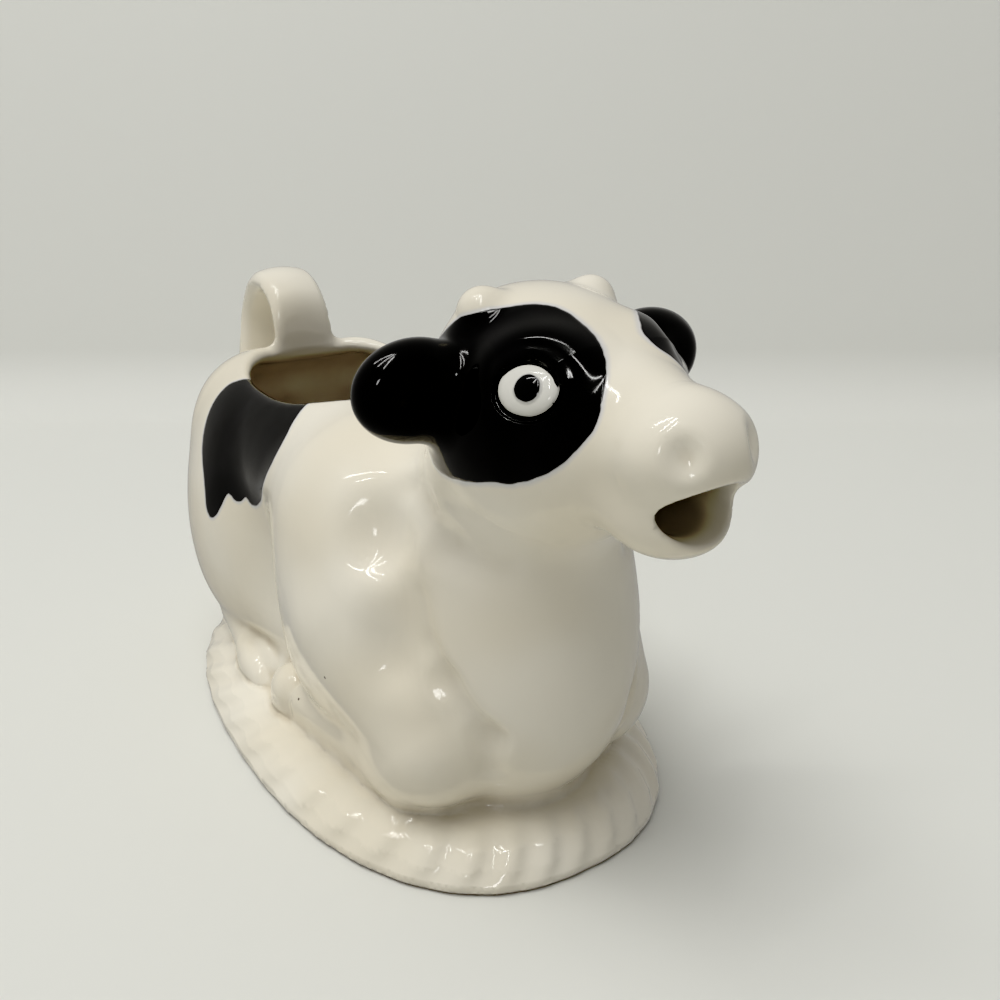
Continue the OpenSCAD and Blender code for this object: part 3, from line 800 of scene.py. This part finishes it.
def eye_rings(side, rings=30, spokes=96):
    radius = np.linspace(0, 1, rings + 1)[1:]
    turn = np.arange(spokes) * 2 * np.pi / spokes
    a = np.concatenate([[0], np.outer(radius, np.cos(turn)).ravel()]) * EYE_HALF[0]
    b = np.concatenate([[0], np.outer(radius, np.sin(turn)).ravel()]) * EYE_HALF[1]
    rho = np.concatenate([[0], np.repeat(radius, spokes)])
    flat = eye_middle + a[:, None] * eye_along + b[:, None] * eye_up
    ground = settle(trunk, flat, 4)
    from_pupil = np.hypot(a - PUPIL_AT[0], b - PUPIL_AT[1])
    dome = np.sqrt(np.clip(1 - (from_pupil / (PUPIL + PUPIL_EDGE)) ** 2, 0, None))
    lift = BULGE * np.clip(1 - rho**3.5, 0, None) ** 0.6 - SUNK + PUPIL_RISE * dome
    p = ground + lift[:, None] * eye_out
    q = np.arange(rings * spokes).reshape(rings, spokes) + 1
    after = np.roll(q, -1, 1)
    corners = q[:-1], q[1:], after[1:], after[:-1]
    faces = np.column_stack([c.ravel() for c in corners]).tolist()
    faces += [[0, int(q[0, i]), int(q[0, (i + 1) % spokes])] for i in range(spokes)]
    if side < 0:
        p = p * (1, -1, 1)
        faces = [f[::-1] for f in faces]
    return p, faces, from_pupil


# %% Glaze of an eye
def eye_glaze():
    """Opaque white glaze with a black dot, both fired glossy; the dot's rim bleeds grey."""
    material, tree = finish_called("white_and_black_eye_glaze")
    place = add(tree, "ShaderNodeTexCoord", out="Object")
    ripple = add(tree, "ShaderNodeTexNoise", None, {"Vector": place, "Scale": 700.0})
    from_middle = add(tree, "ShaderNodeAttribute", {"attribute_name": "from_pupil"}, out="Fac")
    wander = add(tree, "ShaderNodeMapRange", SMOOTH,
                 {VALUE: ripple, LOW: 0.3, HIGH: 0.7, START: -0.05, END: 0.05})
    edge = add(tree, "ShaderNodeMath", {"operation": "ADD"}, {0: from_middle, 1: wander})
    dot = add(tree, "ShaderNodeMapRange", SMOOTH,
              {VALUE: edge, LOW: PUPIL - 0.08, HIGH: PUPIL + 0.08, START: 1, END: 0})
    bleed = add(tree, "ShaderNodeMapRange", SMOOTH,
                {VALUE: edge, LOW: PUPIL, HIGH: PUPIL + 0.5, START: 0.35, END: 0})
    white = add(tree, "ShaderNodeMix", COLOURS,
                {SHARE: bleed, FIRST: "#DAD8D0", SECOND: "#A9A9AD"}, MIXED)
    colour = add(tree, "ShaderNodeMix", COLOURS,
                 {SHARE: dot, FIRST: white, SECOND: "#0A0A0B"}, MIXED)
    gloss = add(tree, "ShaderNodeMapRange", SMOOTH,
                {VALUE: ripple, LOW: 0.3, HIGH: 0.7, START: 0.06, END: 0.12})
    shader = add(tree, "ShaderNodeBsdfPrincipled", None,
                 {**GLASSY, "Base Color": colour, "Roughness": gloss})
    add(tree, "ShaderNodeOutputMaterial", None, {"Surface": shader}, out=None)
    return material


# %% Laying the eyes in
white_eye = eye_glaze()
for side, name in ((1, "left_eye"), (-1, "right_eye")):
    p, eye_faces, from_pupil = eye_rings(side)
    make_piece(name + "_bead", p, eye_faces, {"from_pupil": from_pupil}, white_eye, name)

# %% [markdown]
# ## Stage
# In the photograph the cow stands on a pale sheet, and the tone changes softly where the
# sheet meets the wall. One sheet does both here: flat under the cow, then curved up and
# leaning back behind it. A flat floor with an upright wall would shade the rump and come
# between the cow and a camera at its back.

# %% Sweep: a sheet that curves up behind the cow, all sizes in metres
def sweep(start=0.22, bend=0.045, lean=math.radians(64), top=0.36, wide=1.6):
    """Drawn as a line seen from the edge of the sheet, and then carried out sideways."""
    # away is where the camera looks, laid flat on the floor, and across is to its right
    away, across = np.array([-0.847, 0.5316, 0]), np.array([0.5316, 0.847, 0])
    profile = [(-3.0, 0), (-0.5, 0), (0, 0)]
    profile += [(start + bend * math.sin(t), bend * (1 - math.cos(t)))
                for t in np.linspace(0, lean, 24)]
    profile += [(profile[-1][0] + (top - profile[-1][1]) / math.tan(lean), top)]
    rows = [[(d * away + side * across + (0, 0, h)).tolist() for d, h in profile]
            for side in (-wide, wide)]
    n = len(profile)
    mesh = bpy.data.meshes.new("sweep")
    mesh.from_pydata(rows[0] + rows[1], [], [(i, i + 1, n + i + 1, n + i) for i in range(n - 1)])
    mesh.update()
    mesh.shade_smooth()
    return mesh


table = bpy.data.objects.new("sweep", sweep())
# the glaze mirrors the even room instead: so near, the sheet would lie as a hard-edged band
# across the black, where the photograph shows only a faint sheen
table.visible_glossy = False
bpy.context.scene.collection.objects.link(table)
print("the sweep rises behind the cow to", round(max(v.co.z for v in table.data.vertices), 2), "m")

# %% Its surface: uncoated card, pressed smooth, which scatters light and mirrors nothing
surface, tree = finish_called("pale_matt_sheet")
shader = add(tree, "ShaderNodeBsdfPrincipled", None, {"Base Color": "#DCDCD6", "Roughness": 0.6})
add(tree, "ShaderNodeOutputMaterial", None, {"Surface": shader}, out=None)
table.data.materials.append(surface)

# %% [markdown]
# ## Light
# The photograph was taken in a large room: pale walls behind and to the left, a darker room
# behind the photographer, and strip lights on the ceiling. A world that brightens towards
# one side gives the soft shading. One large lamp overhead gives the shadow and is kept out
# of the reflections. A small window and three narrow strips give the small sharp ones that
# show the eye how hard and glossy the glaze is.

# %% Soft room light, brighter above and behind the cow
BRIGHT_SIDE, ROOM_STRENGTH = (-0.70, -0.05, 0.71), 0.82
world = bpy.data.worlds.new("room")
bpy.context.scene.world = world
world.use_nodes = True
room = world.node_tree
towards = add(room, "ShaderNodeTexCoord", out="Generated")
facing = add(room, "ShaderNodeVectorMath", {"operation": "DOT_PRODUCT"},
             {0: towards, 1: BRIGHT_SIDE}, "Value")
brightness = add(room, "ShaderNodeMapRange", SMOOTH, {VALUE: facing, LOW: -0.4, HIGH: 0.8})
glow = add(room, "ShaderNodeMix", COLOURS,
           {SHARE: brightness, FIRST: "#5C5C5C", SECOND: "#C4C5C5"}, MIXED)
# the glaze mirrors an even, dim room, and the camera sees pale paper all round
ray = add(room, "ShaderNodeLightPath", out=None)
for seen_by, colour in (("Is Glossy Ray", "#A9A8A5"), ("Is Camera Ray", "#C9C9C5")):
    glow = add(room, "ShaderNodeMix", COLOURS,
               {SHARE: ray.outputs[seen_by], FIRST: glow, SECOND: colour}, MIXED)
room.links.new(glow, room.nodes["Background"].inputs["Color"])
room.nodes["Background"].inputs["Strength"].default_value = ROOM_STRENGTH

# %% Lamps: a skylight, a window and three ceiling strips
from mathutils import Matrix, Vector


def lamp(name, place, aim, size, power, colour="#FFFFFF"):
    """A rectangular lamp, in metres and watts, that shines from its place towards its aim."""
    data = bpy.data.lights.new(name, "AREA")
    data.shape, data.size, data.size_y, data.energy = "RECTANGLE", size[0], size[1], power
    data.color = linear(colour)[:3]
    made = bpy.data.objects.new(name, data)
    made.location = place
    made.rotation_euler = (Vector(aim) - Vector(place)).to_track_quat("-Z", "Y").to_euler()
    bpy.context.scene.collection.objects.link(made)
    return made


skylight = lamp("skylight", (0.0, -0.48, 1.8), (0, 0, 0.05), (1.2, 1.2), 17, "#FFFFFD")
skylight.visible_glossy = False
lamp("window", (1.15, -0.95, 0.75), (0, 0, 0.06), (0.2, 0.24), 1.0)
for i in range(3):
    lamp(f"ceiling_{i}", (-0.45 + 0.5 * i, -0.7, 2.2), (0, 0, 0), (0.05, 1.1), 3.5, "#FFFFFC")
print("lamps:", {light.name: light.energy for light in bpy.data.lights})

# %% [markdown]
# ## Camera
# A telephone held close gives the photograph its strong perspective: the head looms and the
# rump runs away. Place, aim and lens were fitted to points on the plinth and the face, so
# the numbers are given as they came out. A phone also deepens the blacks, which the tone
# curve repeats on top of the plain view transform.

# %% Camera, in metres, looking down its own -Z
camera_data = bpy.data.cameras.new("camera")
camera_data.lens, camera_data.sensor_width = 36.11, 36.0
camera = bpy.data.objects.new("camera", camera_data)
right = Vector((0.5314, 0.8471, 0.0)).normalized()
forward = Vector((-0.7883, 0.4945, -0.3660)).normalized()
up = right.cross(forward).normalized()
right = forward.cross(up)
turn = Matrix((right, up, -forward)).transposed().to_4x4()
camera.matrix_world = Matrix.Translation(Vector((0.18609, -0.09163, 0.13196))) @ turn
camera_data.clip_start = 0.01
bpy.context.scene.collection.objects.link(camera)
bpy.context.scene.camera = camera
print("the camera stands", round(camera.matrix_world.translation.length, 3), "m from the plinth")

# %% Plain tones with the deep blacks of a telephone picture
view = bpy.context.scene.view_settings
view.view_transform = "Standard"
view.use_curve_mapping = True
tones = view.curve_mapping.curves[3]  # the one that bends red, green and blue together
for dark, shown in ((0.03, 0.003), (0.055, 0.02), (0.10, 0.088), (0.25, 0.25)):
    tones.points.new(dark, shown)
view.curve_mapping.update()
